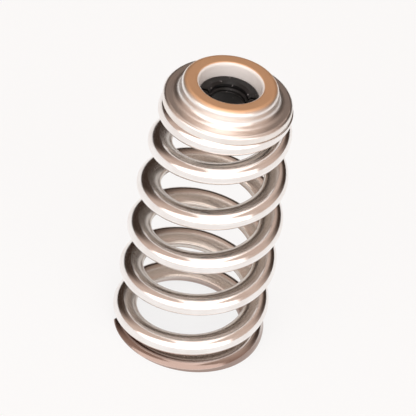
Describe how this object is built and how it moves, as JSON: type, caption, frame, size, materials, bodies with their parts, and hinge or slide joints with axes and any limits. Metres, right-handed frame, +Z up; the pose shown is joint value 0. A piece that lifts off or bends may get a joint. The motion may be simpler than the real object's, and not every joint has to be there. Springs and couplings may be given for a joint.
{
  "type": "engine valve spring",
  "caption": "Beehive valve spring of ovate steel wire with closed, ground ends, topped by a steel retainer holding a split tapered lock.",
  "frame": {"origin": "on the spring's axis, in the plane of the ground foot", "axes": "+Z up along the spring's axis towards the retainer; the lock halves lie in front of and behind the XZ plane, with -Y in front"},
  "size_m": [0.0328, 0.0328, 0.0646],
  "materials": {
    "spring_wire": "polished spring steel",
    "retainer_steel": "polished turned steel with a straw tint",
    "lock_black": "black oxide steel"
  },
  "bodies": {
    "root": {"valve_spring": "spring_wire", "retainer": "retainer_steel", "lock_half_front": "lock_black", "lock_half_back": "lock_black"}
  },
  "joints": []
}
